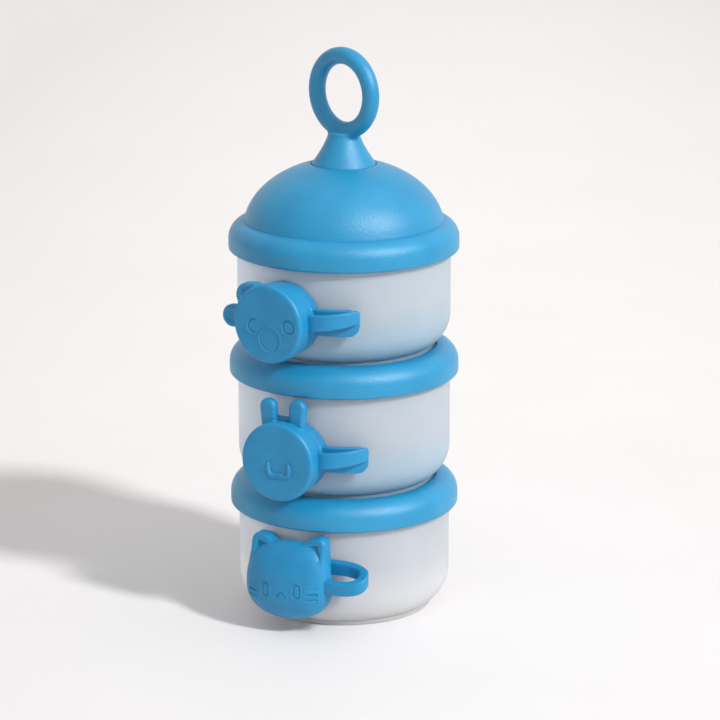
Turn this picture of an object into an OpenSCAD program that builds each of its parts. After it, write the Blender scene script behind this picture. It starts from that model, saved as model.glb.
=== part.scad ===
// Three-tier milk powder dispenser: three stacked cups, each with a lid and a
// pouring spout that a silicone animal face closes. Millimetres, +Z up. The
// origin is on the tower's axis, at the table. The spouts point to -Y.

/* [Tower] */
// Height of each cup from its foot to its lid's lower edge, from the bottom up
cup_heights = [41.1, 43.1, 39.2]; // [38.5:0.1:50]
// Turn of each cup about the tower's axis, in degrees, from the bottom up
cup_turns = [0, 0, -4.1]; // [-20:0.1:20]
// Gap between pieces that lift apart
lift_gap = 0.2; // [0.1:0.05:0.3]

/* [Cups] */
// Outer radius of a cup
cup_r = 41.7; // [41:0.1:42]
// Thickness of a cup's wall
cup_wall = 1.7; // [1.2:0.1:2]
// Radius of the round between a cup's wall and its base
cup_round = 14; // [12:0.5:16]
// Radius of the foot ring
foot_r = 34.8; // [34.5:0.1:36]
// Height of the foot ring
foot_h = 1.7; // [1.2:0.1:2.2]

/* [Lids] */
// Outer radius of a lid
lid_r = 45; // [44.5:0.1:47]
// Height of a lid
lid_h = 11.4; // [11:0.1:14]
// Radius of a lid's upper edge
lid_round = 7; // [5:0.5:8]
// Radius of a lid's lower edge
lid_edge = 1; // [0.5:0.1:2.5]
// Radius of the recess that the next cup stands in
recess_r = 36.3; // [36.2:0.1:37]
// Depth of that recess
recess_depth = 1.2; // [1:0.1:2.2]
// Horizontal radius of the dome
dome_r = 39.3; // [38.5:0.1:40]
// Vertical radius of the dome
dome_h = 27.5; // [24:0.1:30]
// Thickness of the dome's shell
dome_wall = 2; // [1.5:0.1:3]

/* [Ring stopper] */
// Radius of the stopper's cone at its base
cone_r = 12.4; // [11:0.1:12.4]
// Height of the cone
cone_h = 13.6; // [12:0.1:15]
// Radius of the cone's waist
waist_r = 6.2; // [5:0.1:7]
// Radius of the finger ring, to the middle of its rod
ring_r = 14.5; // [13:0.1:16]
// Radius of the finger ring's rod
rod_r = 3.3; // [2.5:0.05:3.5]
// Turn of the finger ring about the tower's axis, in degrees
ring_turn = -16.5; // [-90:0.5:90]
// Radius of the filling hole that the stopper's plug closes
fill_r = 8.5; // [8:0.1:9]

/* [Spouts] */
// Height of each spout's axis above its cup's foot, from the bottom up
spout_heights = [21.4, 19.3, 19.9]; // [19:0.1:22]
// Outer radius of a spout
spout_r = 11; // [10:0.1:11.2]
// Radius of a spout's bore
bore_r = 9; // [8:0.1:9.2]
// Distance from the tower's axis to a spout's mouth
spout_reach = 50; // [49:0.1:50.2]

/* [Animal caps] */
// Radius of the rabbit's face
rabbit_r = 15.7; // [15.3:0.1:16.6]
// Radius of the bear's face
bear_r = 15.4; // [15.3:0.1:16.6]
// Distance from the tower's axis to a cap's front
face_front = 54.8; // [54:0.1:56]
// Distance from the tower's axis to a cap's back
face_back = 45.3; // [45.2:0.1:46]
// Thickness of a tether's band
band_t = 2; // [1.5:0.1:2.4]

/* [Hidden] */
$fn = 96;
cup_in = cup_r - cup_wall;
floor_t = 2.2;
pad_r = 24;
groove_d = 0.6;
skirt_in = cup_r + 0.4;
rim_up = 7.2;
seal_top = rim_up + 1.2;
seal_in = cup_in - 0.8;
recess_floor = lid_h - recess_depth - lift_gap;
stack_up = lid_h - recess_depth;

base_1 = 0;
base_2 = base_1 + cup_heights[0] + stack_up;
base_3 = base_2 + cup_heights[1] + stack_up;
bases = [base_1, base_2, base_3];
edges = [for (i = [0:2]) bases[i] + cup_heights[i]];

dome_mid = 7.4;
seat_r = 12.6;
seat_z = 31;
neck_z = 26.9;
plug_r = 7.6;
plug_down = 7.5;
stopper_z = edges[2] + seat_z + lift_gap;
ring_up = 29.9;

spout_plug_r = bore_r - 0.2;
spout_plug_in = 7.2;
spout_plug_back = 42;
spout_plug_front = 51.5;
collar_in = spout_r + 0.2;
collar_r = 14.5;
collar_front = 44.9;

clear_blue = [0.82, 0.86, 0.89];
plastic_blue = [0.2, 0.6, 0.83];
silicone_blue = [0.22, 0.58, 0.8];
seal_white = [0.93, 0.93, 0.92];

// points along an arc about c, from angle a0 to a1
function arc(c, r, a0, a1, n = 10) =
    [for (i = [0:n]) let (a = a0 + (a1 - a0) * i / n) c + r * [cos(a), sin(a)]];

// points along an ellipse's quarter, from distance x0 to x1, at even angles
function ellipse_arc(a, b, mid, x0, x1, n = 16) =
    let (t0 = acos(x0 / a), t1 = acos(x1 / a))
    [for (i = [0:n]) let (t = t0 + (t1 - t0) * i / n) [a * cos(t), mid + b * sin(t)]];

module turned(points) rotate_extrude() polygon(points);

// puts children on tier i's spout axis: X to the spout's side, Y outwards, Z up
module at_spout(i)
    translate([0, 0, bases[i] + spout_heights[i]])
    rotate([0, 0, cup_turns[i]]) mirror([0, 1, 0]) children();

// a solid turned about the spout's axis, from points of [radius, distance out]
module spout_turned(points) rotate([-90, 0, 0]) turned(points);

// a flat shape in X and Z, from distance `back` to `front` along the spout
module along_spout(back, front)
    translate([0, front, 0]) rotate([90, 0, 0]) linear_extrude(front - back) children();

// ---------------------------------------------------------------- cups

module cup_outside(rim) {
    mid = [cup_r - cup_round, cup_round];
    start = -asin((cup_round - foot_h) / cup_round);
    turned(concat(
        [[0, 0], [pad_r, 0], [pad_r + groove_d, groove_d]],
        [[foot_r - 4.4, groove_d], [foot_r - 3.8, 0], [foot_r - 0.4, 0]],
        [[foot_r, 0.4], [foot_r, foot_h]],
        arc(mid, cup_round, start, 0),
        [[cup_r, rim - 0.7], [cup_r - 0.5, rim], [0, rim]]
    ));
}

module cup_inside(rim) {
    round_in = cup_round - 2;
    turned(concat(
        [[0, floor_t]],
        arc([cup_in - round_in, floor_t + round_in], round_in, -90, 0),
        [[cup_in, rim + 1], [0, rim + 1]]
    ));
}

module cup(i) {
    rim = cup_heights[i] + rim_up;
    spout_z = [0, 0, spout_heights[i]];
    color(clear_blue) translate([0, 0, bases[i]]) rotate([0, 0, cup_turns[i]]) difference() {
        union() {
            cup_outside(rim);
            mirror([0, 1, 0]) translate(spout_z)
                spout_turned([[0, 30], [spout_r, 30], [spout_r, spout_reach - 0.5],
                              [spout_r - 0.5, spout_reach], [0, spout_reach]]);
        }
        cup_inside(rim);
        translate(spout_z) rotate([90, 0, 0]) cylinder(r = bore_r, h = 60);
    }
}

module lower_cup() cup(0);
module middle_cup() cup(1);
module upper_cup() cup(2);

// ---------------------------------------------------------------- lids

// a lid's outer outline, from the skirt's inside to the flat on top
function lid_outside() = concat(
    [[skirt_in, 0.4], [skirt_in + 0.4, 0]],
    arc([lid_r - lid_edge, lid_edge], lid_edge, -90, 0, 5),
    arc([lid_r - lid_round, lid_h - lid_round], lid_round, 0, 88, 10)
);

module stacking_lid(i)
    color(plastic_blue) translate([0, 0, edges[i]]) turned(concat(
        lid_outside(),
        [[recess_r + 0.4, lid_h], [recess_r, lid_h - 0.4], [recess_r, recess_floor]],
        [[0, recess_floor], [0, seal_top], [skirt_in, seal_top]]
    ));

module lower_lid() stacking_lid(0);
module middle_lid() stacking_lid(1);

module dome_lid() {
    inner_r = dome_r - dome_wall;
    inner_h = dome_h - dome_wall;
    boss_r = seat_r + 2;
    color(plastic_blue) translate([0, 0, edges[2]]) turned(concat(
        [for (p = lid_outside()) if (p[0] > dome_r || p[1] < 2) p],
        ellipse_arc(dome_r, dome_h, dome_mid, dome_r - 0.4, seat_r + 0.3),
        [[seat_r, seat_z + 2], [seat_r, seat_z], [fill_r, seat_z], [fill_r, neck_z]],
        [[boss_r, neck_z]],
        ellipse_arc(inner_r, inner_h, dome_mid, boss_r, inner_r),
        [[inner_r, seal_top], [skirt_in, seal_top]]
    ));
}

// an L-shaped gasket: a flange on the cup's rim and a lip inside its wall
module lid_seal(i)
    color(seal_white) translate([0, 0, edges[i]]) turned([
        [seal_in, rim_up - 2.2], [cup_in - lift_gap, rim_up - 2.2],
        [cup_in - lift_gap, rim_up + lift_gap], [skirt_in, rim_up + lift_gap],
        [skirt_in, seal_top], [seal_in, seal_top]
    ]);

module lower_seal() lid_seal(0);
module middle_seal() lid_seal(1);
module upper_seal() lid_seal(2);

// ---------------------------------------------------------------- stopper

module ring_stopper() {
    groove_r = plug_r - 1;
    sunk = 2.2;
    // above the dome the cone's side is a shallow hollow arc, up to its waist
    side = [for (s = [0:0.1:1]) [waist_r + (cone_r - waist_r) * pow(1 - s, 1.3),
                                 sunk + (cone_h - sunk) * s]];
    color(plastic_blue) translate([0, 0, stopper_z]) {
        turned(concat(
            [[0, -plug_down], [plug_r - 0.6, -plug_down], [plug_r, 0.6 - plug_down]],
            [[plug_r, -3.9], [groove_r, -3.9], [groove_r, -1.3], [plug_r, -1.3], [plug_r, 0]],
            [[cone_r, 0]],
            side,
            [[waist_r - 1.2, cone_h + 1], [0, cone_h + 1]]
        ));
        translate([0, 0, ring_up - 0.2]) rotate([0, 0, ring_turn]) rotate([90, 0, 0])
            rotate_extrude() translate([ring_r, 0]) circle(r = rod_r, $fn = 48);
    }
}

// a silicone band in the plug's groove, just short of the filling hole's wall
module stopper_seal()
    color(seal_white) translate([0, 0, stopper_z]) turned([
        [plug_r - 1, -3.9], [fill_r - 0.4, -3.9], [fill_r - 0.1, -3.2],
        [fill_r - 0.1, -2], [fill_r - 0.4, -1.3], [plug_r - 1, -1.3]
    ]);

// ---------------------------------------------------------------- tethers

// a strip that curves in plan: thickness about radius r, cut to two angles
module curved_strip(c, r, a0, a1, low, high)
    translate([0, 0, low]) linear_extrude(high - low)
    polygon(concat(arc(c, r - band_t / 2, a0, a1), arc(c, r + band_t / 2, a1, a0)));

// a ring round the spout, from the cup's wall outwards, with a tongue along the wall
module collar(i, tongue_end, low, high, round_u) {
    tall = (high - low) / 2;
    color(silicone_blue) at_spout(i) difference() {
        union() {
            difference() {
                spout_turned([[0, 30], [collar_r, 30], [collar_r, collar_front - 0.5],
                              [collar_r - 0.5, collar_front], [0, collar_front]]);
                translate([0, 0, -20]) cylinder(r = cup_r + lift_gap, h = 40);
            }
            intersection() {
                curved_strip([9.6, 13.1], 30.4, 85, tongue_end, low, high);
                along_spout(30, 50) translate([0, (low + high) / 2]) {
                    translate([0, -tall]) square([round_u - tall, 2 * tall]);
                    translate([round_u - tall, 0]) circle(r = tall);
                }
            }
        }
        translate([0, 60, 0]) rotate([90, 0, 0]) cylinder(r = collar_in, h = 40);
    }
}

module cat_collar() collar(0, 69, 1.6, 6.4, 24);
module rabbit_collar() collar(1, 48.3, -4.6, 5.6, 30);
module bear_collar() collar(2, 48.3, -4.6, 5.6, 30);

// a narrow band that folds from the tongue's tip to the cap's side
module folded_band(i)
    color(silicone_blue) at_spout(i) curved_strip([15.4, 32.8], 14.7, 90, 30, -2.2, 3.7);

module rabbit_band() folded_band(1);
module bear_band() folded_band(2);

// an open loop that rises from the cat's cheek to its collar
module cat_band() {
    front = 5.3;
    turn_u = 27.7;
    half_t = 1.3;
    cheek_u = 18.9;
    rear_u = 23;
    color(silicone_blue) at_spout(0) translate([0, 43.9, 1.9]) rotate([-27, 0, 0])
        translate([0, 0, -2.6]) linear_extrude(5.2) {
            translate([cheek_u, front - 1.3 - half_t]) square([turn_u - cheek_u, 2 * half_t]);
            translate([rear_u, 1.3 - front - half_t]) square([turn_u - rear_u, 2 * half_t]);
            translate([turn_u, 0]) intersection() {
                difference() {
                    circle(r = front - 1.3 + half_t);
                    circle(r = front - 1.3 - half_t);
                }
                translate([0, -10]) square([10, 20]);
            }
        }
}

// ---------------------------------------------------------------- caps

// the hollow plug that goes into the spout's bore, with two sealing ribs
module spout_plug()
    spout_turned([
        [spout_plug_in, spout_plug_back], [spout_plug_r - 0.7, spout_plug_back],
        [spout_plug_r - 0.4, spout_plug_back + 1.5], [spout_plug_r, spout_plug_back + 2],
        [spout_plug_r - 0.4, spout_plug_back + 2.5], [spout_plug_r - 0.4, spout_plug_back + 4],
        [spout_plug_r, spout_plug_back + 4.5], [spout_plug_r - 0.4, spout_plug_back + 5],
        [spout_plug_r - 0.4, spout_plug_front + 0.5], [spout_plug_in, spout_plug_front + 0.5]
    ]);

// what a cap leaves free behind its face: the spout's mouth and the plug's place
module cap_hollow()
    spout_turned([[0, 40], [collar_in + 0.1, 40],
                  [collar_in + 0.1, spout_reach + 0.3], [spout_plug_in, spout_reach + 0.3],
                  [spout_plug_in, spout_plug_front], [0, spout_plug_front]]);

// a disc whose side runs out from the collar's size to r
module round_face(r)
    spout_turned(concat(
        [[0, face_back], [collar_r - 0.4, face_back], [collar_r + 0.1, face_back + 0.5]],
        [[r, face_front - 3]],
        arc([r - 1.8, face_front - 1.8], 1.8, 0, 90, 6),
        [[0, face_front]]
    ));

// a ring-shaped groove in the face, at u across and w up
module ring_groove(u, w, r)
    translate([u, face_front, w]) rotate([90, 0, 0])
    rotate_extrude($fn = 48) translate([r, 0]) circle(r = 0.5, $fn = 16);

module bear_cap()
    color(silicone_blue) at_spout(2) {
        difference() {
            union() {
                round_face(bear_r);
                // a rounded ear and, below it, the tab that a finger lifts
                along_spout(45.8, 50.4) translate([-13, 8.8]) circle(r = 5);
                along_spout(45.6, 49) translate([0, -0.9]) {
                    translate([-21, 0]) circle(r = 4.4);
                    translate([-21, -4.4]) square([11, 8.8]);
                }
            }
            cap_hollow();
            for (u = [-8, 8]) ring_groove(u, 0, 2.8);
        }
        spout_plug();
        translate([0, face_front - 0.5, -6.2]) rotate([-90, 0, 0]) cylinder(r = 5.1, h = 1.2);
    }

module rabbit_cap()
    color(silicone_blue) at_spout(1) {
        difference() {
            union() {
                round_face(rabbit_r);
                for (s = [-1, 1]) along_spout(45.8, 49.4)
                    translate([s * 6.2, 12]) rotate(-3 * s) {
                        translate([-2.9, 0]) square([5.8, 8.8]);
                        translate([0, 8.8]) circle(r = 2.9);
                    }
            }
            cap_hollow();
        }
        spout_plug();
        // the mouth: two small smiles side by side
        along_spout(face_front - 0.5, face_front + 0.5)
            for (u = [-2, 2.4]) translate([u, -2.2]) difference() {
                circle(r = 3);
                circle(r = 1.6);
                translate([-5, 0]) square([10, 5]);
            }
    }

module cat_cap()
    color(silicone_blue) at_spout(0) {
        difference() {
            union() {
                // a broad face, flat behind and domed in front
                intersection() {
                    hull() for (s = [-1, 1]) translate([s * 5.6, 47.6, 0.3])
                        scale([12.7, 7, 14.9]) sphere(r = 1, $fn = 40);
                    translate([-30, face_back, -30]) cube([60, 20, 60]);
                }
                for (s = [-1, 1]) along_spout(face_back, 48.2)
                    polygon([[s * 5.1, 11.7], [s * 10.7, 17.6], [s * 14.4, 17.3],
                             [s * 17.3, 12.8], [s * 17.1, 5.1]]);
            }
            cap_hollow();
        }
        spout_plug();
        for (s = [-1, 1]) along_spout(52, 54.6) translate([s * 6.8, -2.7]) {
            translate([-1.6, -1.5]) square([3.2, 3]);
            for (t = [-1, 1]) translate([0, t * 1.5]) circle(r = 1.6);
        }
    }

lower_cup();
lower_lid();
lower_seal();
cat_collar();
cat_band();
cat_cap();
middle_cup();
middle_lid();
middle_seal();
rabbit_collar();
rabbit_band();
rabbit_cap();
upper_cup();
dome_lid();
upper_seal();
bear_collar();
bear_band();
bear_cap();
ring_stopper();
stopper_seal();
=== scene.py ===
"""Looks of the three-tier milk powder dispenser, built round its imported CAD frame.

Lengths are millimetres until a mesh is made. A spout's own frame has u to the spout's
right, v outwards from the tower's axis and w up from the spout's axis.
"""
import math

import bpy
import numpy as np
from mathutils import Matrix, Vector


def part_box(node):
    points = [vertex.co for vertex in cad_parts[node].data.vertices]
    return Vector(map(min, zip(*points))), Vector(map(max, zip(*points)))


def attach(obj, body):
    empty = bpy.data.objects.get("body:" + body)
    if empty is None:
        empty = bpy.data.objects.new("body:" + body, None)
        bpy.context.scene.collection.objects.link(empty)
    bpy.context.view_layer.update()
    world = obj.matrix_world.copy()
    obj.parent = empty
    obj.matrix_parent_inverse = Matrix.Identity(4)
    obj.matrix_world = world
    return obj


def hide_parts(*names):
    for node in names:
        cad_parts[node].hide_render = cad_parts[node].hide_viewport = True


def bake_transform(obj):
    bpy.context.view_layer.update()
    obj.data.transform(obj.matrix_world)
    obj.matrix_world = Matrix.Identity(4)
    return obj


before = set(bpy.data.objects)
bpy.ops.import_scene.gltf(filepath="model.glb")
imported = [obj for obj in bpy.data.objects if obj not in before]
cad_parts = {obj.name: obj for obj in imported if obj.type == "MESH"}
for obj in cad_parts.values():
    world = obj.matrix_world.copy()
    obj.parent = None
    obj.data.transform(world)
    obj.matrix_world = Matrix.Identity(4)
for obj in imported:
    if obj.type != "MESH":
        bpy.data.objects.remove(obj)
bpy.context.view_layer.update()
MM = 0.001

# ------------------------------------------------------------------ sizes

# each animal's turn about the tower's axis, and the body its cup is
TIERS = {
    "cat": (0.0, "lower_cup_body"),
    "rabbit": (0.0, "middle_cup_body"),
    "bear": (-4.1, "upper_cup_body"),
}
# distances from the tower's axis, outwards
CUP_SIDE = 41.9
COLLAR_FRONT = 45.05
FACE_BACK = 45.12
SPOUT_REACH = 50.0
MARKS_FROM = 52
FACE_FRONT = 54.8
# radii round a spout's axis
COLLAR_IN = 11.2
COLLAR_R = 14.5
BEAR_R = 15.4
RABBIT_R = 15.7
# the tongue's and the folded band's arcs in plan: centre and radius
TONGUE_ARC = ((9.6, 13.1), 30.4)
BAND_ARC = ((15.4, 32.8), 14.7)
# their thickness, and the round of every band's edges
STRIP_T = 2.0
STRIP_ROUND = 0.55
# the middle of the cat's open loop in plan, and where its two strands begin
LOOP_U, LOOP_V = 20.8, 43.9
LOOP_START = 12.5
# the finger ring, its rod, and the plug under the stopper's cone
RING_R = 14.5
ROD_R = 3.3
RING_TURN = -16.5
PLUG_DOWN = 7.5
CONE_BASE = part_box("ring_stopper")[0].z / MM + PLUG_DOWN
RING_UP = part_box("ring_stopper")[1].z / MM - RING_R - ROD_R


def spout_height(tier):
    """Height of a spout's axis: its collar's lowest point is one collar radius below it."""
    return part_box(f"{tier}_collar")[0].z / MM + COLLAR_R


def spout_matrix(tier):
    """From a spout's frame in millimetres to the row frame in metres."""
    turn, _ = TIERS[tier]
    across = Matrix(((1, 0, 0), (0, -1, 0), (0, 0, 1))).to_4x4()
    return (
        Matrix.Scale(MM, 4)
        @ Matrix.Translation((0, 0, spout_height(tier)))
        @ Matrix.Rotation(math.radians(turn), 4, "Z")
        @ across
    )


# ------------------------------------------------------------------ materials

# a cup's tone high up, and low down its painted reflection of the blue lid or the floor it stands
# on, and how much paler the high one gets in places
CUP_TONES = {
    "lower_cup": ((211, 216, 223), (246, 246, 248)),
    "middle_cup": ((206, 215, 224), (168, 203, 226)),
    "upper_cup": ((204, 215, 225), (162, 202, 227)),
}
MOTTLE = 6
# metres to where the floor's painted shade has gone from its palest to its greyest
PAINTED_SHADE_REACH = 0.4


def srgb(r, g, b):
    """A display colour of 0 to 255 as a linear one."""
    found = []
    for c in (r, g, b):
        c = c / 255
        found.append(c / 12.92 if c <= 0.04045 else ((c + 0.055) / 1.055) ** 2.4)
    return (*found, 1.0)


def math_node(tree, operation, value, *constants):
    """A Math node's result for a value and up to two constants."""
    made = tree.nodes.new("ShaderNodeMath")
    made.operation = operation
    tree.links.new(value, made.inputs[0])
    for number, constant in enumerate(constants, 1):
        made.inputs[number].default_value = constant
    return made.outputs["Value"]


class Shader:
    """A node material with one Principled shader, and short calls that add to it."""

    def __init__(self, name, **sockets):
        self.material = bpy.data.materials.new(name)
        self.material.use_nodes = True
        self.tree = self.material.node_tree
        self.bsdf = self.tree.nodes["Principled BSDF"]
        for socket, value in sockets.items():
            self.bsdf.inputs[socket.replace("_", " ")].default_value = value
        self.place = self.node("ShaderNodeTexCoord").outputs["Object"]

    def node(self, kind, **settings):
        """A new node of a kind, with some of its settings."""
        made = self.tree.nodes.new(kind)
        for key, value in settings.items():
            setattr(made, key, value)
        return made

    def link(self, a, b):
        """Runs output a into input b."""
        self.tree.links.new(a, b)

    def noise(self, size_mm, detail=2.0, roughness=0.5):
        """Noise whose grains are about size_mm across."""
        made = self.node("ShaderNodeTexNoise")
        made.inputs["Scale"].default_value = 1 / (size_mm * MM)
        made.inputs["Detail"].default_value = detail
        made.inputs["Roughness"].default_value = roughness
        self.link(self.place, made.inputs["Vector"])
        return made.outputs["Fac"]

    def ramp(self, value, low, high, out_low, out_high):
        """A value's stretch from low to high, laid over another stretch."""
        made = self.node("ShaderNodeMapRange")
        for key, x in zip(
            ("From Min", "From Max", "To Min", "To Max"), (low, high, out_low, out_high)
        ):
            made.inputs[key].default_value = x
        self.link(value, made.inputs["Value"])
        return made.outputs["Result"]

    def mix(self, factor, a, b):
        """The colour b laid over a, where a is a colour or another node's output."""
        made = self.node("ShaderNodeMix", data_type="RGBA")
        self.link(factor, made.inputs["Factor"])
        if isinstance(a, tuple):
            made.inputs["A"].default_value = a
        else:
            self.link(a, made.inputs["A"])
        made.inputs["B"].default_value = b
        return made.outputs["Result"]

    def bump(self, height, depth_mm, strength=1.0):
        """Shading as if the surface rose by height times depth_mm."""
        made = self.node("ShaderNodeBump")
        made.inputs["Strength"].default_value = strength
        made.inputs["Distance"].default_value = depth_mm * MM
        self.link(height, made.inputs["Height"])
        return made.outputs["Normal"]


def blue_plastic():
    """Matte moulded plastic with a fine spark-eroded texture."""
    s = Shader("blue_plastic", Specular_IOR_Level=0.62, IOR=1.49)
    tone = s.ramp(s.noise(18, 3), 0.35, 0.65, 0, 1)
    s.link(s.mix(tone, srgb(20, 133, 180), srgb(28, 141, 187)), s.bsdf.inputs["Base Color"])
    s.link(s.ramp(s.noise(0.9, 2), 0.3, 0.7, 0.3, 0.42), s.bsdf.inputs["Roughness"])
    s.link(s.bump(s.noise(0.7, 4, 0.7), 0.17), s.bsdf.inputs["Normal"])
    return s.material


def blue_silicone():
    """Soft matte silicone: a little light goes in, and dust dulls its gloss unevenly."""
    s = Shader("blue_silicone", Specular_IOR_Level=0.75, IOR=1.43, Sheen_Weight=0.05)
    s.bsdf.inputs["Sheen Roughness"].default_value = 0.4
    s.bsdf.inputs["Subsurface Weight"].default_value = 0.08
    s.bsdf.inputs["Subsurface Radius"].default_value = (0.3, 0.6, 1.0)
    s.bsdf.inputs["Subsurface Scale"].default_value = 0.0015
    tone = s.ramp(s.noise(9, 3), 0.35, 0.65, 0, 1)
    s.link(s.mix(tone, srgb(4, 127, 178), srgb(10, 135, 185)), s.bsdf.inputs["Base Color"])
    s.link(s.ramp(s.noise(2.2, 3), 0.3, 0.7, 0.42, 0.52), s.bsdf.inputs["Roughness"])
    s.link(s.bump(s.noise(0.35, 2), 0.02, 0.5), s.bsdf.inputs["Normal"])
    return s.material


def frosted_plastic(cup, high_tone, painted_reflection_tone):
    """Frosted polypropylene: milky, with light that passes through and scatters.

    Low down a cup is painted with the tone of what it stands on: a painted reflection of the
    light that the blue lid, or for the lowest cup the floor, throws up onto it.
    """
    s = Shader(f"frosted_{cup}", IOR=1.3, Specular_IOR_Level=0.5)
    s.bsdf.inputs["Transmission Weight"].default_value = 0.4
    s.bsdf.inputs["Subsurface Weight"].default_value = 1.0
    s.bsdf.inputs["Subsurface Radius"].default_value = (1.0, 1.0, 1.0)
    s.bsdf.inputs["Subsurface Scale"].default_value = 0.004
    low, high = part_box(cup)
    axes = s.node("ShaderNodeSeparateXYZ")
    s.link(s.place, axes.inputs[0])
    # painted reflection of what the cup stands on: full at its foot, gone halfway up
    depth = s.ramp(axes.outputs["Z"], low.z, (low.z + high.z) / 2, 1, 0)
    tone = s.ramp(s.noise(25, 2), 0.35, 0.65, 0, 1)
    paler = [level + MOTTLE for level in high_tone]
    milky = s.mix(tone, srgb(*high_tone), srgb(*paler))
    s.link(s.mix(depth, milky, srgb(*painted_reflection_tone)), s.bsdf.inputs["Base Color"])
    s.link(s.ramp(s.noise(1.4, 3), 0.3, 0.7, 0.4, 0.5), s.bsdf.inputs["Roughness"])
    s.link(s.bump(s.noise(0.5, 2), 0.03, 0.35), s.bsdf.inputs["Normal"])
    return s.material


def white_silicone():
    """Plain milky gasket silicone with a dull surface."""
    s = Shader("white_silicone", IOR=1.43)
    tone = s.ramp(s.noise(4, 2), 0.35, 0.65, 0, 1)
    s.link(s.mix(tone, srgb(225, 226, 224), srgb(236, 237, 235)), s.bsdf.inputs["Base Color"])
    s.link(s.ramp(s.noise(1.5, 2), 0.3, 0.7, 0.5, 0.62), s.bsdf.inputs["Roughness"])
    s.link(s.bump(s.noise(0.4, 2), 0.02, 0.4), s.bsdf.inputs["Normal"])
    return s.material


def floor_white():
    """Pale table top: barely uneven, and greyer the further off to the sides it is, a painted
    shade for light falling off away from the object.
    """
    s = Shader("floor_white", Specular_IOR_Level=0.3)
    tone = s.ramp(s.noise(120, 2), 0.3, 0.7, 0, 1)
    near = s.mix(tone, srgb(225, 223, 223), srgb(228, 226, 226))
    # the painted shade counts far less along the view, and starts a little to the right
    off = s.node("ShaderNodeVectorMath", operation="MULTIPLY_ADD")
    off.inputs[1].default_value = (1, 0.2, 0)
    off.inputs[2].default_value = (-0.08, 0, 0)
    s.link(s.place, off.inputs[0])
    far = s.node("ShaderNodeVectorMath", operation="LENGTH")
    s.link(off.outputs["Vector"], far.inputs[0])
    # painted shade for light falling off: none near the object, full at the reach set above
    share = s.ramp(far.outputs["Value"], 0, PAINTED_SHADE_REACH, 0, 1)
    painted_shade = math_node(s.tree, "POWER", share, 1.5)
    s.link(s.mix(painted_shade, near, srgb(207, 205, 204)), s.bsdf.inputs["Base Color"])
    s.link(s.ramp(s.noise(6, 2), 0.3, 0.7, 0.6, 0.7), s.bsdf.inputs["Roughness"])
    return s.material


PLASTIC = blue_plastic()
SILICONE = blue_silicone()
WHITE = white_silicone()

# ------------------------------------------------------------------ CAD nodes that stay


def edge_smoothing():
    """A modifier's node group: welds the mesh, then keeps only edges over 32 degrees crisp."""
    group = bpy.data.node_groups.new("smooth_by_angle", "GeometryNodeTree")
    group.interface.new_socket("Geometry", in_out="INPUT", socket_type="NodeSocketGeometry")
    group.interface.new_socket("Geometry", in_out="OUTPUT", socket_type="NodeSocketGeometry")
    start = group.nodes.new("NodeGroupInput")
    weld = group.nodes.new("GeometryNodeMergeByDistance")
    weld.inputs["Distance"].default_value = 0.002 * MM
    faces = group.nodes.new("GeometryNodeSetShadeSmooth")
    faces.domain = "FACE"
    edges = group.nodes.new("GeometryNodeSetShadeSmooth")
    edges.domain = "EDGE"
    angle = group.nodes.new("GeometryNodeInputMeshEdgeAngle")
    under = group.nodes.new("FunctionNodeCompare")
    under.operation = "LESS_EQUAL"
    under.inputs["B"].default_value = math.radians(32)
    end = group.nodes.new("NodeGroupOutput")
    group.links.new(start.outputs[0], weld.inputs["Geometry"])
    group.links.new(weld.outputs["Geometry"], faces.inputs["Geometry"])
    group.links.new(faces.outputs["Geometry"], edges.inputs["Geometry"])
    group.links.new(angle.outputs["Unsigned Angle"], under.inputs["A"])
    group.links.new(under.outputs["Result"], edges.inputs["Shade Smooth"])
    group.links.new(edges.outputs["Geometry"], end.inputs[0])
    return group


SMOOTHING = edge_smoothing()


def dress(node, material):
    """Gives a CAD node its material and smooth shading. Its points stay as they are."""
    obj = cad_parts[node]
    if "custom_normal" in obj.data.attributes:
        obj.data.attributes.remove(obj.data.attributes["custom_normal"])
    obj.data.materials.clear()
    obj.data.materials.append(material)
    obj.modifiers.new("smooth_by_angle", "NODES").node_group = SMOOTHING


for name in ("lower_lid", "middle_lid", "dome_lid"):
    dress(name, PLASTIC)
for name, tones in CUP_TONES.items():
    dress(name, frosted_plastic(name, *tones))
for name in ("lower_seal", "middle_seal", "upper_seal", "stopper_seal"):
    dress(name, WHITE)

# ------------------------------------------------------------------ distance fields
# A solid is a function of points that is negative inside it, in millimetres. What is
# added to it sinks its surface, and what is taken away raises it.


def union(a, b, soft=0.0):
    """Both solids together, with a fillet about `soft` wide where they meet."""
    if soft <= 0:
        return np.minimum(a, b)
    h = np.clip(0.5 + 0.5 * (b - a) / soft, 0, 1)
    return b + (a - b) * h - soft * h * (1 - h)


def cut(a, b, soft=0.0):
    """Solid a without solid b, with an edge rounded about `soft` wide."""
    return -union(-a, b, soft)


def shell_of(across, along, round_r):
    """A rounded solid from two distances that are at right angles to each other."""
    a, b = across + round_r, along + round_r
    outside = np.hypot(np.maximum(a, 0), np.maximum(b, 0))
    return outside + np.minimum(np.maximum(a, b), 0) - round_r


def band_of(x, low, high):
    """Distance to the stretch from low to high on one axis."""
    return np.abs(x - (low + high) / 2) - (high - low) / 2


def segment(a, b, start, end, r_start=0.0, r_end=None):
    """Distance in a plane to a straight stroke, whose half-width may change along it."""
    r_end = r_start if r_end is None else r_end
    du, dw = end[0] - start[0], end[1] - start[1]
    t = np.clip(((a - start[0]) * du + (b - start[1]) * dw) / (du * du + dw * dw), 0, 1)
    gap = np.hypot(a - start[0] - t * du, b - start[1] - t * dw)
    return gap - (r_start + (r_end - r_start) * t)


def stroke(a, b, points, r):
    """Distance in a plane to a line through points, r wide to each side."""
    found = np.full(np.broadcast(a, b).shape, 1e3)
    for start, end in zip(points, points[1:]):
        found = np.minimum(found, segment(a, b, start, end, r))
    return found


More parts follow.
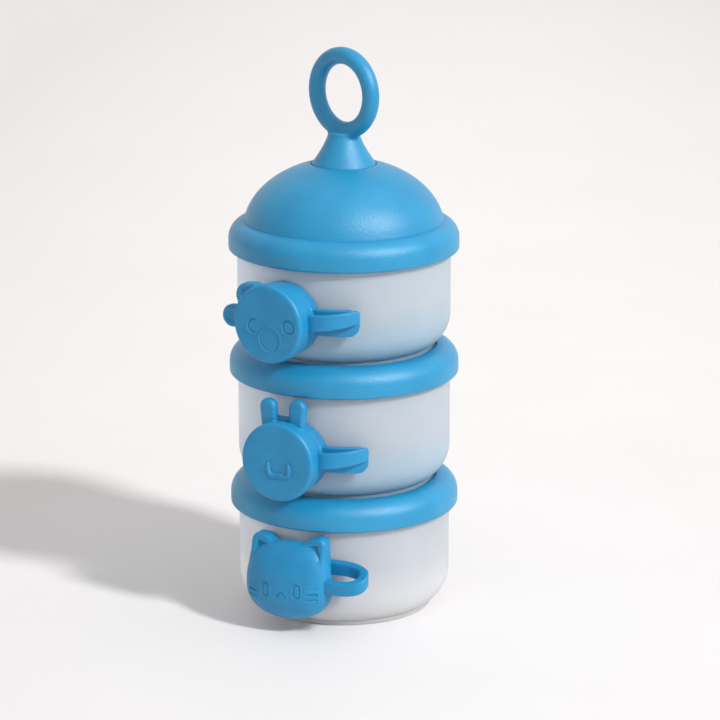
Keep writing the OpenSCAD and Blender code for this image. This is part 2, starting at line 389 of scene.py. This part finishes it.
def polygon(a, b, corners, round_r):
    """Distance in a plane to a polygon, its corners named anticlockwise, and rounded."""
    sides = [np.full(np.broadcast(a, b).shape, -1e3)]
    near = np.full(np.broadcast(a, b).shape, 1e3)
    for (x0, y0), (x1, y1) in zip(corners, corners[1:] + corners[:1]):
        length = math.hypot(x1 - x0, y1 - y0)
        sides.append(((a - x0) * (y1 - y0) - (b - y0) * (x1 - x0)) / length)
        near = np.minimum(near, segment(a, b, (x0, y0), (x1, y1)))
    inside = np.max(np.stack(np.broadcast_arrays(*sides)), axis=0)
    return np.where(inside < 0, -near, near) - round_r


def bump_on(distance, width):
    """1 on a line, falling smoothly to 0 at `width` from it."""
    t = np.clip(1 - np.abs(distance) / width, 0, 1)
    return t * t * (3 - 2 * t)


def step_on(distance, width):
    """1 inside an outline, falling smoothly to 0 over `width` at its edge."""
    t = np.clip(0.5 - distance / width, 0, 1)
    return t * t * (3 - 2 * t)


def groove(distance, deep, width, lip, lip_width):
    """A line sunk `deep` into a face, with a raised lip just outside it."""
    return deep * bump_on(distance, width) - lip * bump_on(distance - 0.65, lip_width)


# ------------------------------------------------------------------ meshes from fields

CORNERS = [np.array((x, y, z)) for x in (0, 1) for y in (0, 1) for z in (0, 1)]
# sizes of a grid cell
STOPPER_CELL = 0.4
COLLAR_CELL = 0.35
SOFT_CELL = 0.3


def net_quads(inside, number):
    """The quads round every grid edge that goes through the surface, facing outwards."""
    found = []
    for axis in range(3):
        order = (axis, (axis + 1) % 3, (axis + 2) % 3)
        solid = np.transpose(inside, order)
        cell = np.transpose(number, order)
        i, j, k = np.nonzero(solid[:-1, 1:-1, 1:-1] != solid[1:, 1:-1, 1:-1])
        ring = np.stack(
            [cell[i, j, k], cell[i, j + 1, k], cell[i, j + 1, k + 1], cell[i, j, k + 1]], 1
        )
        outwards = solid[i, j + 1, k + 1]
        found.append(np.where(outwards[:, None], ring, ring[:, ::-1]))
    return np.concatenate(found)


def mean_crossing(at):
    """Where the surface crosses a cell's edges on average, from the values at its corners."""
    points = np.zeros((len(at), 3))
    crossings = np.zeros(len(at))
    for a in range(8):
        for b in range(a + 1, 8):
            way = CORNERS[b] - CORNERS[a]
            if np.abs(way).sum() != 1:
                continue
            through = (at[:, a] < 0) != (at[:, b] < 0)
            share = at[through, a] / (at[through, a] - at[through, b])
            points[through] += CORNERS[a] + share[:, None] * way
            crossings[through] += 1
    return points / crossings[:, None]


def surface_net(field, low, high, step):
    """Points and quads of the surface where field is 0, with one point in each grid cell."""
    low = np.array(low, float)
    counts = [int((h - l) / step) + 2 for l, h in zip(low, high)]
    lines = [l + step * np.arange(n) for l, n in zip(low, counts)]
    value = field(np.stack(np.meshgrid(*lines, indexing="ij"), -1))
    inside = value < 0
    take = [tuple(slice(c, n - 1 + c) for c, n in zip(corner, counts)) for corner in CORNERS]
    total = sum(inside[t].astype(int) for t in take)
    mixed = (total > 0) & (total < 8)
    number = np.full(mixed.shape, -1)
    number[mixed] = np.arange(mixed.sum())
    at = np.stack([value[t][mixed] for t in take], 1)
    points = (np.argwhere(mixed) + mean_crossing(at)) * step + low
    return settle(field, points, step), net_quads(inside, number)


def slope_of(field, points, reach):
    """How the field rises along each axis at the points."""
    rises = [field(points + reach * e) - field(points - reach * e) for e in np.eye(3)]
    return np.stack(rises, -1) / (2 * reach)


def settle(field, points, step):
    """Moves points onto the surface, each by less than half a cell."""
    start = points.copy()
    for _ in range(3):
        slope = slope_of(field, points, 0.05 * step)
        size = np.maximum((slope**2).sum(-1), 0.05)
        points = points - slope * (field(points) / size)[:, None]
        points = start + np.clip(points - start, -0.45 * step, 0.45 * step)
    return points


def add_object(name, data):
    """A new object in the scene."""
    obj = bpy.data.objects.new(name, data)
    bpy.context.scene.collection.objects.link(obj)
    return obj


def solid(name, field, low, high, step, matrix, material):
    """A smooth mesh object of a distance field, placed in the row frame."""
    points, quads = surface_net(field, low, high, step)
    if matrix.determinant() < 0:
        quads = quads[:, ::-1]
    mesh = bpy.data.meshes.new(name)
    mesh.from_pydata(points.tolist(), [], quads.tolist())
    mesh.transform(matrix)
    mesh.polygons.foreach_set("use_smooth", np.ones(len(quads), bool))
    mesh.materials.append(material)
    return add_object(name, mesh)


# ------------------------------------------------------------------ the ring stopper


def ring_stopper_field(p):
    """A plug, a hollow-sided cone and the finger ring on it, all moulded in one."""
    neck_r, flare, hollow = 6.2, 6.2, 1.3
    rim_top, neck_up, cone_top = 2.2, 13.6, 14.6
    plug_r, seal_depth, seal_low, seal_top = 7.6, 1.0, -3.9, -1.3
    x, y, z = p[..., 0], p[..., 1], p[..., 2]
    out = np.hypot(x, y)
    up = z - CONE_BASE
    share = np.clip((up - rim_top) / (neck_up - rim_top), 0, 1)
    side = neck_r + flare * (1 - share) ** hollow
    cone = shell_of((out - side) * 0.84, band_of(up, 0.0, cone_top), 0.35)
    ring = np.hypot(np.hypot(x, z - RING_UP) - RING_R, y) - ROD_R
    plug = shell_of(out - plug_r, band_of(up, -PLUG_DOWN, 1), 0.5)
    seal_seat = np.maximum(plug_r - seal_depth - out, band_of(up, seal_low, seal_top))
    return union(union(cone, ring, 1.5), cut(plug, seal_seat))


stopper = solid(
    "ring_stopper_moulding", ring_stopper_field,
    (-18.5, -13, CONE_BASE - 8), (18.5, 13, RING_UP + 18.5), STOPPER_CELL,
    Matrix.Scale(MM, 4) @ Matrix.Rotation(math.radians(RING_TURN), 4, "Z"), PLASTIC,
)
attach(stopper, "stopper_body")
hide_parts("ring_stopper")

# ------------------------------------------------------------------ the animal caps


def face_disc(p, r):
    """A disc whose side runs out from the collar's size, with a large round in front."""
    v = p[..., 1]
    reach = np.interp(v, (FACE_BACK, FACE_FRONT), (COLLAR_R + 0.05, r))
    side = np.hypot(p[..., 0], p[..., 2]) - reach
    return np.maximum(shell_of(side, v - FACE_FRONT, 1.8), shell_of(side, FACE_BACK - v, 0.1))


def fit_to_spout(head, p):
    """Hollows a cap's back round the spout's mouth and adds its ribbed plug."""
    plug_in, plug_r, plug_back, plug_front = 7.2, 8.4, 42, 52.5
    behind, bore_front = 38, 51.5
    out = np.hypot(p[..., 0], p[..., 2])
    v = p[..., 1]
    mouth = np.maximum(out - COLLAR_IN - 0.2, band_of(v, behind, SPOUT_REACH + 0.3))
    body = cut(head, mouth, 0.4)
    ribs = 0.2 * sum(bump_on(v - rib, 0.7) for rib in (44.0, 46.5))
    wall = band_of(out, plug_in, plug_r) - ribs
    plug = shell_of(wall, band_of(v, plug_back, plug_front), 0.3)
    bore = np.maximum(out - plug_in, band_of(v, behind, bore_front))
    return cut(union(body, plug, 0.3), bore)


def bear_field(p):
    """A round face with ring eyes and a raised nose, an ear, and a tab to lift it by."""
    u, v, w = p[..., 0], p[..., 1], p[..., 2]
    ear_line = segment(u, w, (-12.1, 8.7), (-9.4, 9.0), 5.0)
    tab_line = segment(u, w, (-19.8, -0.4), (-10, -0.4), 4.4)
    ear = shell_of(ear_line, band_of(v, 45.8, 50.4), 1.1)
    tab = shell_of(tab_line, band_of(v, 45.6, 49.2), 1.1)
    ear += 0.6 * step_on(ear_line + 2.3, 1.4) * (v > 48)
    tab += 0.5 * step_on(tab_line + 2.1, 1.4) * (v > 47.4)
    head = union(union(face_disc(p, BEAR_R), ear, 0.8), tab, 0.8)
    right_eye = np.hypot(u - 9.8, w - 0.3) - 2.5
    left_eye = np.hypot(u + 5.8, w + 1.1) - 2.6
    open_side = step_on(u + 5.2, 1.2)
    mark = groove(right_eye, 0.42, 0.5, 0.2, 0.45)
    mark += groove(left_eye, 0.42, 0.5, 0.2, 0.45) * open_side
    nose = np.hypot(u - 1.3, w + 5.7) - 4.9
    mark += 0.12 * bump_on(nose + 0.6, 0.5) - 0.26 * bump_on(nose, 0.5)
    return fit_to_spout(head + mark * (v > MARKS_FROM), p)


def rabbit_field(p):
    """A round face with a raised mouth line and two long ears behind its top."""
    u, v, w = p[..., 0], p[..., 1], p[..., 2]
    head = face_disc(p, RABBIT_R)
    for root, tip in (((-6.2, 10.0), (-6.8, 19.8)), ((5.3, 10.0), (5.9, 20.6))):
        ear = shell_of(segment(u, w, root, tip, 3.0, 3.5), band_of(v, 45.8, 49.8), 1.5)
        head = union(head, ear, 0.4)
    bridge = shell_of(segment(u, w, (-4.5, 12.8), (4.0, 12.8), 3.6), band_of(v, 45.6, 48.0), 0.8)
    head = union(head, bridge, 0.3)
    mouth = [(-3.7, -0.9), (-3.7, -3.2), (-2.9, -4.8), (-1.4, -5.3), (0.5, -4.9)]
    mouth += [(2.1, -4.8), (3.5, -5.2), (4.9, -4.4), (5.4, -2.6), (5.0, -0.6)]
    line = stroke(u, w, mouth, 0)
    mark = -0.5 * step_on(line - 0.6, 0.7) + 0.2 * bump_on(line - 1.2, 0.5)
    return fit_to_spout(head + mark * (v > MARKS_FROM), p)


def cat_head(u, v, w):
    """A broad face, rounder at the chin than at the cheeks, domed in front."""
    rise = w + 2.4
    tall = np.where(rise > 0, 18.4, 13.3)
    power = np.where(rise > 0, 2.5, 2.15)
    outline = (np.abs(u / 18.6) ** power + np.abs(rise / tall) ** power) ** (1 / power)
    depth = np.where(v > 46, 8.6, 2.8)
    dome = (outline**2.1 + np.abs((v - 46) / depth) ** 2.1) ** (1 / 2.1)
    return (dome - 1) * 8.6


def cat_ear(s, v, w):
    """A rounded ear with a small hollow in front, on the side that s counts along."""
    lean = 48.8 - 0.16 * np.maximum(w - 9, 0)
    outline = polygon(s, w, [(5.4, 10.2), (13.3, 4.6), (13.0, 14.9), (10.6, 14.6)], 3.1)
    ear = shell_of(outline, np.maximum(v - lean, 41.8 - v), 1.3)
    ear = np.maximum(ear, CUP_SIDE + 0.4 - np.hypot(s, v))
    hollow = polygon(s, w, [(8.8, 13.7), (14.4, 9.9), (12.5, 14.6)], 0.3)
    return ear + 1.4 * step_on(hollow, 1.0) * (v > 46)


def cat_marks(u, w):
    """How deep the cat's eyes, whiskers and nose are engraved."""
    mark = np.zeros(u.shape)
    for side in (-1, 1):
        s = side * u
        eye = segment(u, w, (6.7 * side + 0.3, -3.6), (6.7 * side + 0.3, -0.9), 1.3)
        mark += groove(eye, 0.36, 0.45, 0.14, 0.5)
        for whisker_w, deep in ((-1.4, 0.14), (-3.6, 0.36), (-5.9, 0.26)):
            line = segment(s, w, (11.2, whisker_w), (14.6, whisker_w + 0.3), 0.05)
            mark += deep * bump_on(line, 0.45) - 0.4 * deep * bump_on(line - 0.7, 0.45)
    nose = stroke(u, w, [(-1.7, -5.0), (0.2, -3.1), (1.0, -3.2), (2.3, -4.6)], 0.05)
    return mark + groove(nose, 0.34, 0.45, 0.12, 0.45)


def cat_field(p):
    """A broad domed face with engraved eyes, nose and whiskers, and two hollow ears."""
    u, v, w = p[..., 0] - 0.8, p[..., 1], p[..., 2] - 0.055 * p[..., 0]
    out = np.hypot(p[..., 0], p[..., 2])
    head = cat_head(u, v, w)
    for side in (-1, 1):
        head = union(head, cat_ear(side * u, v, w), 1.2)
    head = cut(head, np.maximum(out - COLLAR_R - 0.35, v - COLLAR_FRONT - 0.3), 0.3)
    return fit_to_spout(head + cat_marks(u, w) * (v > 47), p)


# a cap's field and the room it takes
CAPS = {
    "bear": (bear_field, (-27, 41, -18), (18, 57, 18)),
    "rabbit": (rabbit_field, (-18, 41, -18), (18, 57, 25.5)),
    "cat": (cat_field, (-21, 41, -17), (21, 57, 21)),
}
for tier, (field, low, high) in CAPS.items():
    cap = solid(f"{tier}_face", field, low, high, SOFT_CELL, spout_matrix(tier), SILICONE)
    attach(cap, f"{tier}_cap_body")
    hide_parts(f"{tier}_cap")

# ------------------------------------------------------------------ the tethers


def strip(p, arc, first, last, low, high, corner):
    """A strip on an arc in plan, from angle first down to last, with rounded far corners."""
    centre, r = arc
    du, dv = p[..., 0] - centre[0], p[..., 1] - centre[1]
    along = np.radians(first - np.degrees(np.arctan2(dv, du))) * r
    length = math.radians(first - last) * r
    tip = shell_of(along - length, band_of(p[..., 2], low, high), corner)
    face = np.maximum(tip, -along)
    return shell_of(np.abs(np.hypot(du, dv) - r) - STRIP_T / 2, face, STRIP_ROUND)


def collar_ring(p):
    """The ring round a spout, from the cup's round side outwards."""
    out = np.hypot(p[..., 0], p[..., 2])
    ring = shell_of(band_of(out, COLLAR_IN, COLLAR_R), p[..., 1] - COLLAR_FRONT, 0.1)
    return np.maximum(ring, CUP_SIDE - np.hypot(p[..., 0], p[..., 1]))


def open_hole(collar, p):
    """Clears the spout's way through a collar and whatever runs into it."""
    hole = np.hypot(p[..., 0], p[..., 2]) - COLLAR_IN
    return cut(collar, np.maximum(hole, 30 - p[..., 1]))


def tongue_collar_field(p):
    """The ring round a spout and its tongue along the cup's wall."""
    tongue = strip(p, TONGUE_ARC, 84, 48.5, low=-4.6, high=5.8, corner=4.2)
    return open_hole(union(collar_ring(p), tongue, 0.8), p)


def ring_collar_field(p):
    """Only the ring round the spout: the cat's loop starts right at it."""
    return open_hole(collar_ring(p), p)


def folded_band_field(p):
    """The band that folds back, narrowing and rising, from the tongue's tip to the cap."""
    (centre_u, centre_v), _ = BAND_ARC
    tip, cap, half = 14, 92, 3
    u, v, w = p[..., 0], p[..., 1], p[..., 2]
    turn = np.degrees(np.arctan2(v - centre_v, u - centre_u))
    rise = np.interp(turn, (tip, cap), (3.3, 0.9))
    narrow = np.interp(turn, (tip, cap), (2.65, 3.3)) / half
    level = np.stack([u, v, (w - rise) / narrow], -1)
    return strip(level, BAND_ARC, 98, tip, low=-half, high=half, corner=1.9)


def oval(u, across, reach, wide):
    """Distance-like measure of an oval round the loop's middle, negative inside it."""
    power = 2.4
    size = np.abs((u - LOOP_U) / reach) ** power + np.abs(across / wide) ** power
    return (size ** (1 / power) - 1) * wide


def cat_loop_field(p):
    """An open loop from the cheek to the collar, whose rear strand runs higher up."""
    half, middle, slant = 2.5, 3.0, 0.5
    u, dv = p[..., 0], p[..., 1] - LOOP_V
    up = p[..., 2] - middle + slant * dv
    ring = np.maximum(oval(u, dv, 12.7, 5.9), -oval(u, dv, 9.0, 3.8))
    face = np.maximum(band_of(up, -half, half) * 0.89, LOOP_START - u)
    return shell_of(ring, face, STRIP_ROUND)


COLLARS = {
    "bear": tongue_collar_field,
    "rabbit": tongue_collar_field,
    "cat": ring_collar_field,
}
# a band's field and the room it takes, then its end on the collar and its end on the cap
FOLDED_BAND = (folded_band_field, (12, 32, -4), (33, 51, 7), (29.7, 36.4, 1.5), (16.0, 47.5, 1.5))
LOOP_BAND = (cat_loop_field, (11, 36, -6), (35, 52, 12), (20.0, 40.0, 1.9), (18.0, 48.0, 1.9))
BANDS = {
    "bear": FOLDED_BAND,
    "rabbit": FOLDED_BAND,
    "cat": LOOP_BAND,
}
COLLAR_ROOM = ((-16, 33, -16), (32, 47, 16))
for tier, field in COLLARS.items():
    matrix = spout_matrix(tier)
    collar = solid(f"{tier}_collar_ring", field, *COLLAR_ROOM, COLLAR_CELL, matrix, SILICONE)
    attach(collar, TIERS[tier][1])
    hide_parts(f"{tier}_collar")
for tier, (field, low, high, fixed, moving) in BANDS.items():
    matrix = spout_matrix(tier)
    band = solid(f"{tier}_tether", field, low, high, SOFT_CELL, matrix, SILICONE)
    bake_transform(band)
    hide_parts(f"{tier}_band")

# ------------------------------------------------------------------ camera, floor, light

CAMERA_TURN = 28
CAMERA_LIFT = 15.2
CAMERA_DISTANCE = 1.259
# the point that the camera faces: up the tower's axis, and to the right of it
AIM_UP = 98.19
AIM_RIGHT = 6.25


def look(obj, target):
    """Turns a camera or a light to face a point."""
    obj.rotation_euler = (Vector(target) - obj.location).to_track_quat("-Z", "Y").to_euler()


def around(turn, lift, distance):
    """A place round the object: turn is counted from -Y towards +X, in degrees."""
    a, e = math.radians(turn), math.radians(lift)
    return Vector((math.sin(a) * math.cos(e), -math.cos(a) * math.cos(e), math.sin(e))) * distance


def add_camera():
    """A long lens that looks past the tower's middle, a little to its right."""
    turn = math.radians(CAMERA_TURN)
    right = Vector((math.cos(turn), math.sin(turn), 0))
    target = Vector((0, 0, AIM_UP * MM)) + right * AIM_RIGHT * MM
    camera = add_object("camera", bpy.data.cameras.new("camera"))
    camera.data.lens = 160
    camera.data.sensor_width = 36
    camera.data.clip_end = 50
    camera.location = target + around(CAMERA_TURN, CAMERA_LIFT, CAMERA_DISTANCE)
    look(camera, target)
    bpy.context.scene.camera = camera


def add_floor():
    """A flat floor that curves up into a backdrop far behind the object."""
    reach, half_width, bend, top = 3.0, 8.0, 1.5, 6.0
    rows = [(-reach, 0.0), (reach, 0.0)]
    for a in np.radians(range(10, 91, 10)):
        rows.append((reach + bend * math.sin(a), bend - bend * math.cos(a)))
    rows.append((reach + bend, top))
    points = []
    for y, z in rows:
        points += [(-half_width, y, z), (half_width, y, z)]
    faces = [(2 * i, 2 * i + 1, 2 * i + 3, 2 * i + 2) for i in range(len(rows) - 1)]
    mesh = bpy.data.meshes.new("floor")
    mesh.from_pydata(points, [], faces)
    mesh.polygons.foreach_set("use_smooth", [True] * len(faces))
    mesh.materials.append(floor_white())
    floor = add_object("floor", mesh)
    floor.rotation_euler = (0, 0, math.radians(CAMERA_TURN))


def add_sun(name, place, angle, strength):
    """A light that is as even over the floor as the sun, with soft-edged shadows."""
    light = bpy.data.lights.new(name, "SUN")
    light.angle = math.radians(angle)
    light.energy = strength
    obj = add_object(name, light)
    obj.location = place
    look(obj, (0, 0, 0))
    return obj


def light_only(light, nodes):
    """Keeps a light to some CAD nodes."""
    lit = bpy.data.collections.new(f"{light.name}_only")
    for node in nodes:
        lit.objects.link(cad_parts[node])
    light.light_linking.receiver_collection = lit


def add_world(bright, even, more):
    """A soft room light: an even part, and `more` of it towards its bright side."""
    world = bpy.data.worlds.new("studio")
    world.use_nodes = True
    tree = world.node_tree
    place = tree.nodes.new("ShaderNodeTexCoord")
    towards = tree.nodes.new("ShaderNodeVectorMath")
    towards.operation = "DOT_PRODUCT"
    towards.inputs[1].default_value = bright
    tree.links.new(place.outputs["Generated"], towards.inputs[0])
    above = math_node(tree, "MAXIMUM", towards.outputs["Value"], 0)
    gathered = math_node(tree, "POWER", above, 1.7)
    strength = math_node(tree, "MULTIPLY_ADD", gathered, more, even)
    back = tree.nodes["Background"]
    back.inputs["Color"].default_value = (1.0, 0.99, 0.985, 1)
    tree.links.new(strength, back.inputs["Strength"])
    bpy.context.scene.world = world


add_camera()
add_floor()
add_sun("key", around(77, 38, 2.0), angle=7, strength=2.75)
# the translucent cups carry light round inside their walls, which this fill stands in for
fill = add_sun("fill", around(-75, 6, 2.0), angle=40, strength=2.8)
light_only(fill, CUP_TONES)
add_world(around(80, 66, 1.0), even=0.43, more=0.6)
bpy.context.scene.view_settings.view_transform = "Standard"
